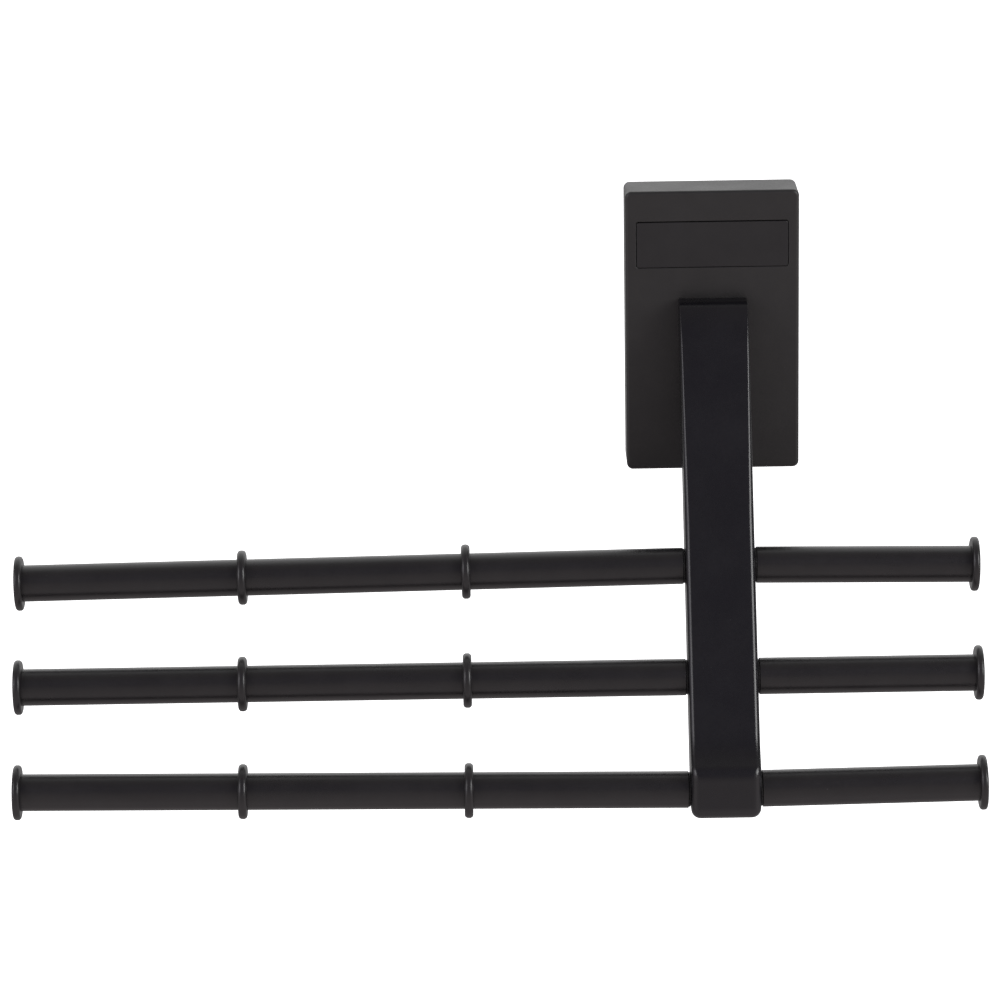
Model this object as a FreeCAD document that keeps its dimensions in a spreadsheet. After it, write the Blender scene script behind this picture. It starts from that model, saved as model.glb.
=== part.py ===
import FreeCAD, Part
import math
import os
import re

import Sketcher

# Wall-mounted towel rack, in millimetres.
# The wall is the plane Y = 0 and the rack stands out of it towards -Y. X runs along the pegs, Z is up, and
# the origin is the centre of the casing's back face. A leaning arm comes out of the casing and carries three
# tiers. Each tier has a long peg on the left and a short peg on the right.

TIERS = ("top", "middle", "bottom")
SIDES = ("left", "right")

# places that a sketch's lines start from, before their constraints move them
ROUGH_RADIUS = 9.0
ROUGH_STEP = 3.0
# the least volume that a cut must take away
LEAST_CUT = 0.01

# ---------------------------------------------------------------- driving dimensions
DIMENSIONS = {
    # casing on the wall
    "casing_width": 64.4,
    "casing_height": 106.0,
    "casing_depth": 19.8,
    "casing_wall": 2.4,
    "casing_front": 3.4,
    "casing_corner": 2.3,
    "casing_edge": 1.2,
    # screw cover, flush in the casing's front, and the window behind it
    "cover_width": 56.1,
    "cover_height": 17.1,
    "cover_thick": 2.0,
    "cover_gap": 0.35,
    "cover_corner": 0.8,
    "cover_edge": 0.3,
    "cover_level": 32.8,
    "window_width": 51.0,
    "window_height": 13.0,
    "leg_width": 6.0,
    "leg_thick": 1.2,
    "leg_length": 5.5,
    "leg_inset": 18.0,
    "leg_gap": 0.3,
    # metal plate behind the casing
    "plate_thick": 3.0,
    "plate_gap": 0.2,
    "wall_hole_radius": 2.6,
    "wall_hole_pitch": 36.0,
    # casing screws and their bosses
    "boss_radius": 3.6,
    "boss_pitch_x": 50.0,
    "boss_pitch_z": 92.0,
    "small_screw_radius": 1.5,
    "small_head_radius": 2.8,
    "small_screw_length": 10.0,
    "head_height": 1.7,
    # arm
    "arm_width": 25.4,
    "arm_lean": 27.25,
    "arm_front": 9.0,
    "arm_back": 7.5,
    "arm_root_top": 12.5,
    "arm_root_run": 8.0,
    "arm_root_lean": 43.0,
    "arm_root_corner": 5.3,
    "arm_sweep": 54.0,
    "arm_neck": 30.5,
    "arm_brow": 7.2,
    "arm_toe": 5.6,
    "arm_heel": 9.0,
    "arm_back_neck": 8.0,
    "nose_lean": 53.0,
    "nose_front": 10.6,
    "nose_back": 10.3,
    "nose_rise": 9.4,
    "nose_drop": 9.1,
    "arm_edge": 1.8,
    "tenon_width": 19.0,
    "tenon_height": 9.0,
    "tenon_level": 5.7,
    "tenon_gap": 0.15,
    "tenon_root": 1.0,
    "arm_screw_radius": 2.5,
    "arm_head_radius": 4.4,
    "arm_screw_pitch": 10.6,
    "arm_screw_length": 14.0,
    # tiers
    "top_out": 66.9,
    "top_down": 77.2,
    "tier_pitch": 41.4,
    "tier_toe": 0.65,
    # pegs
    "tube_radius": 6.7,
    "tube_wall": 1.0,
    "slot_long": 78.8,
    "slot_short": 79.4,
    "divider_thick": 3.2,
    "divider_radius": 10.0,
    "divider_rim": 1.3,
    "cap_thick": 3.3,
    "cap_radius": 10.0,
    "cap_rim": 1.1,
    "cap_dome": 0.5,
    "cap_dome_depth": 1.0,
    "cap_spigot": 12.0,
    "collar_thick": 0.6,
    "collar_radius": 6.3,
    "collar_gap": 0.08,
    "plug_length": 14.0,
    "stud_radius": 2.5,
    "stud_in_arm": 9.5,
    "stud_in_plug": 11.0,
    "drill_over": 1.0,
    # clearance between a part and the hole that it sits in, on the radius
    "fit": 0.03,
}

doc = FreeCAD.newDocument("towel_rack")
sheet = doc.addObject("Spreadsheet::Sheet", "Sizes")
for row, (alias, value) in enumerate(DIMENSIONS.items(), start=1):
    sheet.set(f"A{row}", alias)
    sheet.set(f"B{row}", str(value))
    sheet.setAlias(f"B{row}", alias)
doc.recompute()

sub_parts = []


def size(alias):
    """The number in the sheet's cell with this alias."""
    return float(sheet.get(alias))


def bound(formula):
    """The formula with every alias in it pointing at the sheet."""

    def point_at_sheet(match):
        word = match.group()
        return f"Sizes.{word}" if word in DIMENSIONS else word

    return re.sub(r"[a-z_]+", point_at_sheet, formula)


def bind(item, **formulas):
    """Binds properties to formulas of the sheet. Two underscores in a name stand for a dot."""
    for name, formula in formulas.items():
        item.setExpression(name.replace("__", "."), bound(formula))


def keep(item, label):
    """Lists an object as one of the rack's sub-parts."""
    item.Label = label
    sub_parts.append(item)
    return item


# ---------------------------------------------------------------- sketches and features
def new_body(label):
    return keep(doc.addObject("PartDesign::Body", label), label)


def new_sketch(body, name, role, offset=None):
    """An empty sketch on one of the body's own planes, moved along the plane's normal by the offset."""
    sketch = body.newObject("Sketcher::SketchObject", f"{body.Name}_{name}")
    plane = [item for item in body.Origin.OriginFeatures if item.Role == role][0]
    sketch.AttachmentSupport = [(plane, "")]
    sketch.MapMode = "FlatFace"
    if offset:
        bind(sketch, AttachmentOffset__Base__z=offset)
    return sketch


def pin_point(sketch, geometry, point, x, y, start):
    """Fixes a point of the sketch at two formulas, measured from the sketch's origin."""
    for kind, formula, value in (("DistanceX", x, start.x), ("DistanceY", y, start.y)):
        index = sketch.addConstraint(Sketcher.Constraint(kind, -1, 1, geometry, point, value))
        sketch.setExpression(f"Constraints[{index}]", bound(formula))


def draw_polygon(sketch, corners):
    """A closed outline of straight lines through corners given as pairs of formulas."""
    count = len(corners)
    first = sketch.GeometryCount
    turn = 2 * math.pi / count
    rough = [
        FreeCAD.Vector(ROUGH_RADIUS * math.cos(turn * i), ROUGH_RADIUS * math.sin(turn * i), 0)
        for i in range(count)
    ]
    for i in range(count):
        sketch.addGeometry(Part.LineSegment(rough[i], rough[(i + 1) % count]), False)
    for i in range(count):
        after = first + (i + 1) % count
        sketch.addConstraint(Sketcher.Constraint("Coincident", first + i, 2, after, 1))
    for i, (x, y) in enumerate(corners):
        pin_point(sketch, first + i, 1, x, y, rough[i])


def draw_rectangle(sketch, x, y, width, height):
    """A rectangle with its centre at x, y."""
    signs = ((-1, -1), (1, -1), (1, 1), (-1, 1))
    corners = [(f"{x} + {a} * ({width}) / 2", f"{y} + {b} * ({height}) / 2") for a, b in signs]
    draw_polygon(sketch, corners)


def draw_circle(sketch, x, y, radius):
    index = sketch.GeometryCount
    centre = FreeCAD.Vector(ROUGH_STEP * (index + 1), ROUGH_STEP, 0)
    sketch.addGeometry(Part.Circle(centre, FreeCAD.Vector(0, 0, 1), 1.0), False)
    pin_point(sketch, index, 3, x, y, centre)
    ring = sketch.addConstraint(Sketcher.Constraint("Radius", index, 1.0))
    sketch.setExpression(f"Constraints[{ring}]", bound(radius))


def pad(body, sketch, length, middle=False, backwards=False):
    feature = body.newObject("PartDesign::Pad", f"{sketch.Name}_pad")
    feature.Profile = sketch
    feature.Midplane = middle
    feature.Reversed = backwards
    bind(feature, Length=length)
    sketch.Visibility = False
    doc.recompute()
    return feature


def pocket(body, sketch, depth, along_normal=False):
    """Cuts against the sketch plane's normal, or along it, and makes sure that something was cut."""
    before = body.Shape.Volume
    feature = body.newObject("PartDesign::Pocket", f"{sketch.Name}_pocket")
    feature.Profile = sketch
    feature.Reversed = along_normal
    bind(feature, Length=depth)
    doc.recompute()
    if body.Shape.Volume > before - LEAST_CUT:
        raise RuntimeError(f"{feature.Name} cuts nothing")
    return feature


def revolve(body, sketch):
    """Turns the sketch once round its horizontal axis."""
    feature = body.newObject("PartDesign::Revolution", f"{sketch.Name}_turned")
    feature.Profile = sketch
    feature.ReferenceAxis = (sketch, ["H_Axis"])
    feature.Angle = 360
    doc.recompute()
    return feature


def fillet(body, name, radius, wanted):
    """Rounds the body's edges for which wanted(edge) is true."""
    base = body.Tip
    edges = [f"Edge{i + 1}" for i, edge in enumerate(base.Shape.Edges) if wanted(edge)]
    if not edges:
        raise RuntimeError(f"{name} of {body.Label} has no edges")
    feature = body.newObject("PartDesign::Fillet", f"{body.Name}_{name}")
    feature.Base = (base, edges)
    bind(feature, Radius=radius)
    doc.recompute()
    return feature


def near(a, b, tolerance=0.01):
    return abs(a - b) < tolerance


def ends(edge):
    return [vertex.Point for vertex in edge.Vertexes]


def runs_along(edge, axis):
    """Whether the edge is a straight line along axis 0, 1 or 2."""
    points = ends(edge)
    if len(points) < 2 or not isinstance(edge.Curve, Part.Line):
        return False
    direction = points[1] - points[0]
    return near(abs(direction[axis]), direction.Length)


def lies_at(edge, axis, value):
    """Whether the whole edge lies in the plane where the coordinate on that axis has this value."""
    box = edge.BoundBox
    low, high = ((box.XMin, box.XMax), (box.YMin, box.YMax), (box.ZMin, box.ZMax))[axis]
    return near(low, value) and near(high, value)


def crosses_at(edge, place):
    """Whether the edge is a straight line along X that passes through this point."""
    middle = edge.CenterOfMass
    return runs_along(edge, 0) and near(middle.y, place.y) and near(middle.z, place.z)


# ---------------------------------------------------------------- casing, screw cover and wall plate
def screw_spots():
    """Centres of the four casing screws, as formulas."""
    return [(f"{a} * boss_pitch_x / 2", f"{b} * boss_pitch_z / 2") for a in (-1, 1) for b in (-1, 1)]


def arm_screw_spots():
    return [(f"{a} * arm_screw_pitch / 2", "tenon_level") for a in (-1, 1)]


def make_casing():
    """A moulded box, open at the back, with a recess for the cover and a slot for the arm's tenon."""
    body = new_body("casing")
    outline = new_sketch(body, "outline", "XZ_Plane")
    draw_rectangle(outline, "0", "0", "casing_width", "casing_height")
    pad(body, outline, "casing_depth")
    fillet(body, "corners", "casing_corner", lambda edge: runs_along(edge, 1))
    front = -size("casing_depth")
    fillet(body, "front_edge", "casing_edge", lambda edge: lies_at(edge, 1, front))

    hollow = new_sketch(body, "hollow", "XZ_Plane")
    draw_rectangle(hollow, "0", "0", "casing_width - 2 * casing_wall", "casing_height - 2 * casing_wall")
    pocket(body, hollow, "casing_depth - casing_front", along_normal=True)

    bosses = new_sketch(body, "bosses", "XZ_Plane", "plate_thick")
    for x, z in screw_spots():
        draw_circle(bosses, x, z, "boss_radius")
    pad(body, bosses, "casing_depth - casing_front - plate_thick")
    pilots = new_sketch(body, "pilots", "XZ_Plane", "plate_thick")
    for x, z in screw_spots():
        draw_circle(pilots, x, z, "small_screw_radius + fit")
    pocket(body, pilots, "small_screw_length", along_normal=True)

    recess = new_sketch(body, "recess", "XZ_Plane", "casing_depth")
    recess_width = "cover_width + 2 * cover_gap"
    recess_height = "cover_height + 2 * cover_gap"
    draw_rectangle(recess, "0", "cover_level", recess_width, recess_height)
    pocket(body, recess, "cover_thick")
    window = new_sketch(body, "window", "XZ_Plane", "casing_depth")
    draw_rectangle(window, "0", "cover_level", "window_width", "window_height")
    pocket(body, window, "casing_front")
    slot = new_sketch(body, "slot", "XZ_Plane", "casing_depth")
    slot_width = "tenon_width + 2 * tenon_gap"
    slot_height = "tenon_height + 2 * tenon_gap"
    draw_rectangle(slot, "0", "tenon_level", slot_width, slot_height)
    pocket(body, slot, "casing_front")


def make_screw_cover():
    """The flush panel over the wall screws, with four straight legs that grip the window's long sides."""
    body = new_body("screw_cover")
    panel = new_sketch(body, "panel", "XZ_Plane", "casing_depth - cover_thick")
    draw_rectangle(panel, "0", "cover_level", "cover_width", "cover_height")
    pad(body, panel, "cover_thick")
    fillet(body, "corners", "cover_corner", lambda edge: runs_along(edge, 1))
    front = -size("casing_depth")
    fillet(body, "front_edge", "cover_edge", lambda edge: lies_at(edge, 1, front))

    legs = new_sketch(body, "legs", "XZ_Plane", "casing_depth - cover_thick")
    for a in (-1, 1):
        for b in (-1, 1):
            level = f"cover_level + {b} * (window_height / 2 - leg_gap - leg_thick / 2)"
            draw_rectangle(legs, f"{a} * leg_inset", level, "leg_width", "leg_thick")
    pad(body, legs, "leg_length", backwards=True)


def make_wall_plate():
    """The steel plate that carries the load into the wall, with counterbores for the heads behind it."""
    body = new_body("wall_plate")
    outline = new_sketch(body, "outline", "XZ_Plane")
    width = "casing_width - 2 * casing_wall - 2 * plate_gap"
    height = "casing_height - 2 * casing_wall - 2 * plate_gap"
    draw_rectangle(outline, "0", "0", width, height)
    pad(body, outline, "plate_thick")

    holes = new_sketch(body, "holes", "XZ_Plane")
    for a in (-1, 1):
        draw_circle(holes, f"{a} * wall_hole_pitch / 2", "cover_level", "wall_hole_radius")
    for x, z in screw_spots():
        draw_circle(holes, x, z, "small_screw_radius + fit")
    for x, z in arm_screw_spots():
        draw_circle(holes, x, z, "arm_screw_radius + fit")
    pocket(body, holes, "plate_thick", along_normal=True)

    bores = new_sketch(body, "counterbores", "XZ_Plane")
    for x, z in screw_spots():
        draw_circle(bores, x, z, "small_head_radius + fit")
    for x, z in arm_screw_spots():
        draw_circle(bores, x, z, "arm_head_radius + fit")
    pocket(body, bores, "head_height", along_normal=True)


def make_screws(label, spots, radius, head_radius, length):
    """A group of screws pushed in from the wall side: a head in the counterbore and a shank along -Y."""
    pieces = []
    for number, (x, z) in enumerate(spots, start=1):
        for kind, part_radius, height in (("head", head_radius, "head_height"), ("shank", radius, length)):
            piece = doc.addObject("Part::Cylinder", f"{label}_{kind}_{number}")
            bind(piece, Radius=part_radius, Height=height, Placement__Base__x=x, Placement__Base__z=z)
            piece.Placement.Rotation = FreeCAD.Rotation(FreeCAD.Vector(1, 0, 0), 90)
            pieces.append(piece)
    group = doc.addObject("Part::MultiFuse", label)
    group.Shapes = pieces
    keep(group, label)


# ---------------------------------------------------------------- arm
def tier_axis(steps):
    """The Y and Z formulas of the peg axis that lies this many tiers below the top one."""
    along = f"{steps} * tier_pitch"
    return f"-top_out - {along} * sin(arm_lean * 1 deg)", f"-top_down - {along} * cos(arm_lean * 1 deg)"


def make_arm():
    """The cast arm: a tenon, and a bar that sweeps down from its root and leans out to a blunt nose."""
    lean = "arm_lean * 1 deg"
    body = new_body("arm")
    top_y, top_z = tier_axis(0)
    nose_y, nose_z = tier_axis(2)
    root_y = "-casing_depth - arm_root_run"
    root_out = f"(-({root_y} - {top_y}) * cos({lean}) + (arm_root_top - {top_z}) * sin({lean}))"
    root_fall = f"(arm_front - {root_out}) / sin((arm_root_lean - arm_lean) * 1 deg)"
    brow_out = f"(nose_front * cos({lean}) + nose_rise * sin({lean}))"
    neck_run = f"({brow_out} - arm_front) / sin((nose_lean - arm_lean) * 1 deg)"
    heel_run = f"(nose_back - arm_back * cos({lean})) / sin({lean})"
    back_run = f"(casing_depth + arm_back * cos({lean}) - top_out) / sin({lean})"
    corners = {
        "root": ("-casing_depth", "arm_root_top"),
        "root_corner": (root_y, "arm_root_top"),
        "sweep": (
            f"{root_y} - {root_fall} * sin(arm_root_lean * 1 deg)",
            f"arm_root_top - {root_fall} * cos(arm_root_lean * 1 deg)",
        ),
        "neck": (
            f"{nose_y} - nose_front + {neck_run} * sin(nose_lean * 1 deg)",
            f"{nose_z} + nose_rise + {neck_run} * cos(nose_lean * 1 deg)",
        ),
        "brow": (f"{nose_y} - nose_front", f"{nose_z} + nose_rise"),
        "toe": (f"{nose_y} - nose_front", f"{nose_z} - nose_drop"),
        "heel": (f"{nose_y} + nose_back", f"{nose_z} - nose_drop"),
        "back_neck": (
            f"{nose_y} + nose_back",
            f"{nose_z} - arm_back * sin({lean}) + {heel_run} * cos({lean})",
        ),
        "foot": ("-casing_depth", f"{top_z} - arm_back * sin({lean}) - {back_run} * cos({lean})"),
    }
    profile = new_sketch(body, "profile", "YZ_Plane")
    draw_polygon(profile, list(corners.values()))
    pad(body, profile, "arm_width", middle=True)
    places = [line.StartPoint for line in profile.Geometry]
    for name, place in zip(corners, places):
        if name in ("root", "foot"):
            continue
        corner = FreeCAD.Vector(0, place.x, place.y)
        fillet(body, name, f"arm_{name}", lambda edge: crosses_at(edge, corner))
    half = size("arm_width") / 2

    def on_side(edge):
        at_root = lies_at(edge, 1, -size("casing_depth"))
        return (lies_at(edge, 0, half) or lies_at(edge, 0, -half)) and not at_root

    fillet(body, "long_edges", "arm_edge", on_side)

    tenon = new_sketch(body, "tenon", "XZ_Plane", "plate_thick")
    draw_rectangle(tenon, "0", "tenon_level", "tenon_width", "tenon_height")
    pad(body, tenon, "casing_depth - plate_thick + tenon_root")
    threads = new_sketch(body, "threads", "XZ_Plane", "plate_thick")
    for x, z in arm_screw_spots():
        draw_circle(threads, x, z, "arm_screw_radius + fit")
    pocket(body, threads, "arm_screw_length", along_normal=True)

    for tier in TIERS:
        for side in SIDES:
            drill = body.newObject("PartDesign::SubtractiveCylinder", f"arm_{tier}_{side}_thread")
            bind(drill, Radius="stud_radius + fit", Height="stud_in_arm + 2 * drill_over")
            outwards = FreeCAD.Vector(size("drill_over"), 0, 0)
            start = FreeCAD.Placement(outwards, FreeCAD.Rotation(FreeCAD.Vector(0, 1, 0), -90))
            drill.Placement = peg_frame(tier, side).multiply(start)
            doc.recompute()


# ---------------------------------------------------------------- pegs
def peg_frame(tier, side):
    """Where a peg starts: its origin is on the side of the arm, and its own X axis points outwards.

    The outer ends of the top and bottom pegs toe in towards the middle tier.
    """
    steps = TIERS.index(tier)
    angle = math.radians(size("arm_lean"))
    along = steps * size("tier_pitch")
    sign = 1 if side == "right" else -1
    place = FreeCAD.Vector(
        sign * size("arm_width") / 2,
        -size("top_out") - along * math.sin(angle),
        -size("top_down") - along * math.cos(angle),
    )
    droop = FreeCAD.Rotation(FreeCAD.Vector(0, 1, 0), sign * (1 - steps) * size("tier_toe"))
    turn = FreeCAD.Rotation(FreeCAD.Vector(0, 0, 1), 0 if side == "right" else 180)
    return FreeCAD.Placement(place, droop.multiply(turn))


def place_on_peg(item, tier, side, along="0"):
    """Puts a piece on the peg, this far out from the side of the arm."""
    frame = peg_frame(tier, side)
    steps = TIERS.index(tier)
    sign = 1 if side == "right" else -1
    item.Placement = frame
    y, z = tier_axis(steps)
    toe = f"{1 - steps} * tier_toe * 1 deg"
    bind(
        item,
        Placement__Base__x=f"{sign} * (arm_width / 2 + ({along}) * cos({toe}))",
        Placement__Base__y=y,
        Placement__Base__z=f"{z} - ({along}) * sin({toe})",
    )


def peg_length(side):
    """From the side of the arm to the inner face of the end cap's flange."""
    return "3 * slot_long + 2 * divider_thick" if side == "left" else "slot_short"


def make_ring(label, inner, outer, length, rim=None):
    """A ring round the X axis that starts at X = 0."""
    body = new_body(label)
    section = new_sketch(body, "section", "XY_Plane")
    draw_polygon(section, [("0", inner), (length, inner), (length, outer), ("0", outer)])
    revolve(body, section)
    if rim:
        widest = max(edge.BoundBox.YMax for edge in body.Shape.Edges)
        fillet(body, "rim", rim, lambda edge: near(edge.BoundBox.YMax, widest) and edge.isClosed())
    return body


def make_end_cap(label):
    """A round flange with a slightly domed outer face and a spigot inside the tube. X = 0 is its seat."""
    body = new_body(label)
    section = new_sketch(body, "section", "XY_Plane")
    draw_polygon(section, [
        ("-cap_spigot", "0"),
        ("-cap_spigot", "tube_radius - tube_wall - fit"),
        ("0", "tube_radius - tube_wall - fit"),
        ("0", "cap_radius"),
        ("cap_thick - cap_dome", "cap_radius"),
        ("cap_thick - cap_dome", "0"),
    ])
    revolve(body, section)
    widest = size("cap_radius")
    fillet(body, "rim", "cap_rim", lambda edge: near(edge.BoundBox.YMax, widest) and edge.isClosed())
    dome = body.newObject("PartDesign::AdditiveEllipsoid", f"{label}_dome")
    # the ellipsoid's first radius lies along its own Z axis
    bind(dome, Radius1="cap_dome_depth", Radius2="cap_radius - cap_rim", Radius3="cap_radius - cap_rim")
    dome.Placement.Rotation = FreeCAD.Rotation(FreeCAD.Vector(0, 1, 0), 90)
    bind(dome, Placement__Base__x="cap_thick - cap_dome_depth")
    doc.recompute()
    return body


def make_peg(tier, side):
    """One peg: collar, threaded plug, tube, dividers on the long side, and end cap."""
    name = f"{tier}_{side}"
    foot = "collar_gap + collar_thick"
    collar = make_ring(f"{name}_collar", "stud_radius + fit", "collar_radius", "collar_thick")
    place_on_peg(collar, tier, side, "collar_gap")
    plug = make_ring(f"{name}_plug", "stud_radius + fit", "tube_radius - tube_wall - fit", "plug_length")
    place_on_peg(plug, tier, side, foot)
    length = peg_length(side)
    tube = make_ring(f"{name}_tube", "tube_radius - tube_wall", "tube_radius", f"{length} - ({foot})")
    place_on_peg(tube, tier, side, foot)
    cap = make_end_cap(f"{name}_end_cap")
    place_on_peg(cap, tier, side, length)
    if side == "left":
        for number, place in enumerate(("inner", "outer"), start=1):
            along = f"{number} * slot_long + {number - 1} * divider_thick"
            label = f"{tier}_{place}_divider"
            ring = make_ring(label, "tube_radius + fit", "divider_radius", "divider_thick", "divider_rim")
            place_on_peg(ring, tier, side, along)


def make_studs(tier):
    """The two threaded studs of a tier, one for each peg, as a group."""
    studs = []
    for side in SIDES:
        stud = doc.addObject("Part::Cylinder", f"{tier}_{side}_stud")
        inwards = FreeCAD.Vector(-size("stud_in_arm"), 0, 0)
        start = FreeCAD.Placement(inwards, FreeCAD.Rotation(FreeCAD.Vector(0, 1, 0), 90))
        stud.Placement = peg_frame(tier, side).multiply(start)
        bind(stud, Radius="stud_radius", Height="stud_in_arm + stud_in_plug")
        studs.append(stud)
    group = doc.addObject("Part::MultiFuse", f"{tier}_studs")
    group.Shapes = studs
    keep(group, f"{tier}_studs")


# ---------------------------------------------------------------- the rack
make_casing()
make_screw_cover()
make_wall_plate()
make_screws("casing_screws", screw_spots(), "small_screw_radius", "small_head_radius", "small_screw_length")
make_arm()
make_screws("arm_screws", arm_screw_spots(), "arm_screw_radius", "arm_head_radius", "arm_screw_length")
for tier_name in TIERS:
    for side_name in SIDES:
        make_peg(tier_name, side_name)
    make_studs(tier_name)
doc.recompute()

# ---------------------------------------------------------------- checks and files
for item in doc.Objects:
    if "Invalid" in item.State or "Error" in item.State:
        raise RuntimeError(f"{item.Label} did not compute: {item.State}")
for item in sub_parts:
    if item.Shape.isNull() or not item.Shape.isValid() or item.Shape.Volume <= 0:
        raise RuntimeError(f"{item.Label} has no sound shape")

os.makedirs("parts", exist_ok=True)
for item in sub_parts:
    item.Shape.exportStep(f"parts/{item.Label}.step")
    box = item.Shape.BoundBox
    corners = [round(v, 2) for v in (box.XMin, box.XMax, box.YMin, box.YMax, box.ZMin, box.ZMax)]
    print(item.Label, len(item.Shape.Solids), round(item.Shape.Volume, 1), corners)
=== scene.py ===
import math

import bmesh
import bpy
from mathutils import Matrix, Vector


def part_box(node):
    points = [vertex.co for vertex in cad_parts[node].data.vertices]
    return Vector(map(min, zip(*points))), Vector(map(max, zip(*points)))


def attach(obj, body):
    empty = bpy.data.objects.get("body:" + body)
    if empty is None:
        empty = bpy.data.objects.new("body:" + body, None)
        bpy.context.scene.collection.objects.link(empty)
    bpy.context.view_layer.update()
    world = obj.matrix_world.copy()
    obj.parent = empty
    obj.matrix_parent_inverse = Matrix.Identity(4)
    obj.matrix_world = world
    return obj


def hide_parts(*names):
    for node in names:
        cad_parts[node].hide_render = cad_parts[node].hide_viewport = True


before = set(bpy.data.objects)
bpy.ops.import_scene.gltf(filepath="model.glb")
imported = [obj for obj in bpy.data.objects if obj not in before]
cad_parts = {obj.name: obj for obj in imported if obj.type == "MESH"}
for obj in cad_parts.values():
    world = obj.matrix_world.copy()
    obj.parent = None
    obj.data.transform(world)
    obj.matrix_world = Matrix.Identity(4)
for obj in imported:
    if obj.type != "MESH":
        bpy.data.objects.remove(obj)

# A black wall-mounted towel rack, in metres. The wall is the plane Y = 0, the rack stands out of it towards
# -Y, X runs along the pegs and Z is up. Places come from the frame's boxes; the sizes below are the radii
# and offsets that a box doesn't show.

MM = 0.001
TIERS = ("top", "middle", "bottom")
SIDES = ("left", "right")
RACK = "rack"
COVER = "cover"

# mesh building: steps in round shapes, where smooth shading stops, how near points are welded,
# the smallest corner, and how far large faces rule the normals
ROUND_STEPS = 96
CORNER_STEPS = 8
SHARP_ANGLE = math.radians(34)
SAME_POINT = 0.002 * MM
LEAST_RADIUS = 0.1 * MM
EVEN_WEIGHT = 80

# casing and screw cover
CASING_CORNER = 2.3 * MM
CASING_EDGE = 1.2 * MM
CASING_WALL = 2.4 * MM
CASING_FRONT = 3.4 * MM
INNER_CORNER = CASING_WALL + 0.4 * MM
BACK_EDGE = 0.3 * MM
BOSS_RADIUS = 3.6 * MM
PILOT_RADIUS = 1.53 * MM
PILOT_DEPTH = 10.0 * MM
# the recess is wider than the cover by the slit all round, and the cover sits low in it by the sag
COVER_SLIT = 0.17 * MM
COVER_SAG = 0.1 * MM
RECESS_LIP = 0.3 * MM
COVER_THICK = 2.0 * MM
COVER_CORNER = 0.8 * MM
COVER_EDGE = 0.3 * MM
WINDOW_WIDTH = 51.0 * MM
WINDOW_HEIGHT = 13.0 * MM
WINDOW_CORNER = 0.6 * MM
LEG_THICK = 1.2 * MM
LEG_WIDTH = 6.0 * MM
LEG_INSET = 18.0 * MM
LEG_GAP = 0.3 * MM
LEG_CORNER = 0.3 * MM

# screws: the sockets are a share of the head's radius and height
SMALL_HEAD = 2.8 * MM
SMALL_SHANK = 1.5 * MM
ARM_HEAD = 4.4 * MM
ARM_SHANK = 2.5 * MM
HEAD_HEIGHT = 1.7 * MM
HEAD_EDGE = 0.3 * MM
POINT_CHAMFER = 0.5 * MM
SOCKET_SHARE = 0.5
SOCKET_DEPTH = 0.7

# the arm: how far its front and back stand from the line through the pegs,
# its turns, and how round its edges are
ARM_FRONT = 9.0 * MM
ARM_BACK = 7.5 * MM
ROOT_RUN = 8.0 * MM
ROOT_LEAN = math.radians(43.0)
NOSE_LEAN = math.radians(53.0)
NOSE_RISE = 9.4 * MM
ARM_CORNERS = {
    "root_corner": 5.3 * MM,
    "sweep": 54.0 * MM,
    "neck": 30.5 * MM,
    "brow": 7.2 * MM,
    "toe": 5.6 * MM,
    "heel": 9.0 * MM,
    "back_neck": 8.0 * MM,
}
NOSE_BACK = 10.3 * MM
ROOT_EDGE = 0.5 * MM
SWEEP_EDGE = 0.9 * MM
ARM_EDGE = 2.1 * MM
NOSE_EDGE = 3.4 * MM
# a straight run is cut into pieces about this long, and its edge has its new radius after this share of it
RUN_STEP = 4.0 * MM
WIDENING = 0.45
ARM_EDGE_STEPS = 7
ARM_FACE_STEPS = 8
DEGREES_PER_STEP = 3
LEAST_CORNER_STEPS = 8
TENON_WIDTH = 19.0 * MM
TENON_HEIGHT = 9.0 * MM
TENON_GAP = 0.15 * MM
TENON_CORNER = 0.4 * MM
SLOT_CORNER = 0.5 * MM

# pegs
TUBE_WALL = 1.0 * MM
DIVIDER_RIM = 1.3 * MM
CAP_RIM = 1.1 * MM
CAP_DOME = 0.5 * MM
CAP_STEP = 0.6 * MM
COLLAR_EDGE = 0.2 * MM
COLLAR_HOLE = 2.53 * MM
FINE_EDGE = 0.25 * MM
FIT = 0.03 * MM
TUBE_PIECES = 12
DOME_PIECES = 8


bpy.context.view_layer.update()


# ---------------------------------------------------------------- places read from the frame
def middle_of(node):
    low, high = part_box(node)
    return (low + high) / 2


def extent_of(node):
    low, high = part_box(node)
    return high - low


class Peg:
    """One peg's line: a point at the centre of its collar, and the direction out of the arm."""

    def __init__(self, tier, side):
        self.name = f"{tier}_{side}"
        self.tier = tier
        self.side = side
        self.start = middle_of(f"{self.name}_collar")
        self.out = (middle_of(f"{self.name}_end_cap") - self.start).normalized()
        across = Vector((0, 1, 0)).cross(self.out).normalized()
        turned = Matrix((self.out, across.cross(self.out), across)).transposed()
        self.matrix = Matrix.Translation(self.start) @ turned.to_4x4()

    def along(self, node):
        """How far out from the collar's centre the node's box has its centre."""
        return (middle_of(node) - self.start).dot(self.out)


PEGS = {(tier, side): Peg(tier, side) for tier in TIERS for side in SIDES}
TUBE_RADIUS = extent_of("middle_right_tube").z / 2
COLLAR_RADIUS = extent_of("middle_right_collar").z / 2
COLLAR_THICK = extent_of("middle_right_collar").x
DIVIDER_RADIUS = extent_of("middle_inner_divider").z / 2
DIVIDER_THICK = extent_of("middle_inner_divider").x
CAP_RADIUS = extent_of("middle_right_end_cap").z / 2
CAP_LENGTH = extent_of("middle_right_end_cap").x
TENON_LEVEL = middle_of("arm_screws").z


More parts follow.
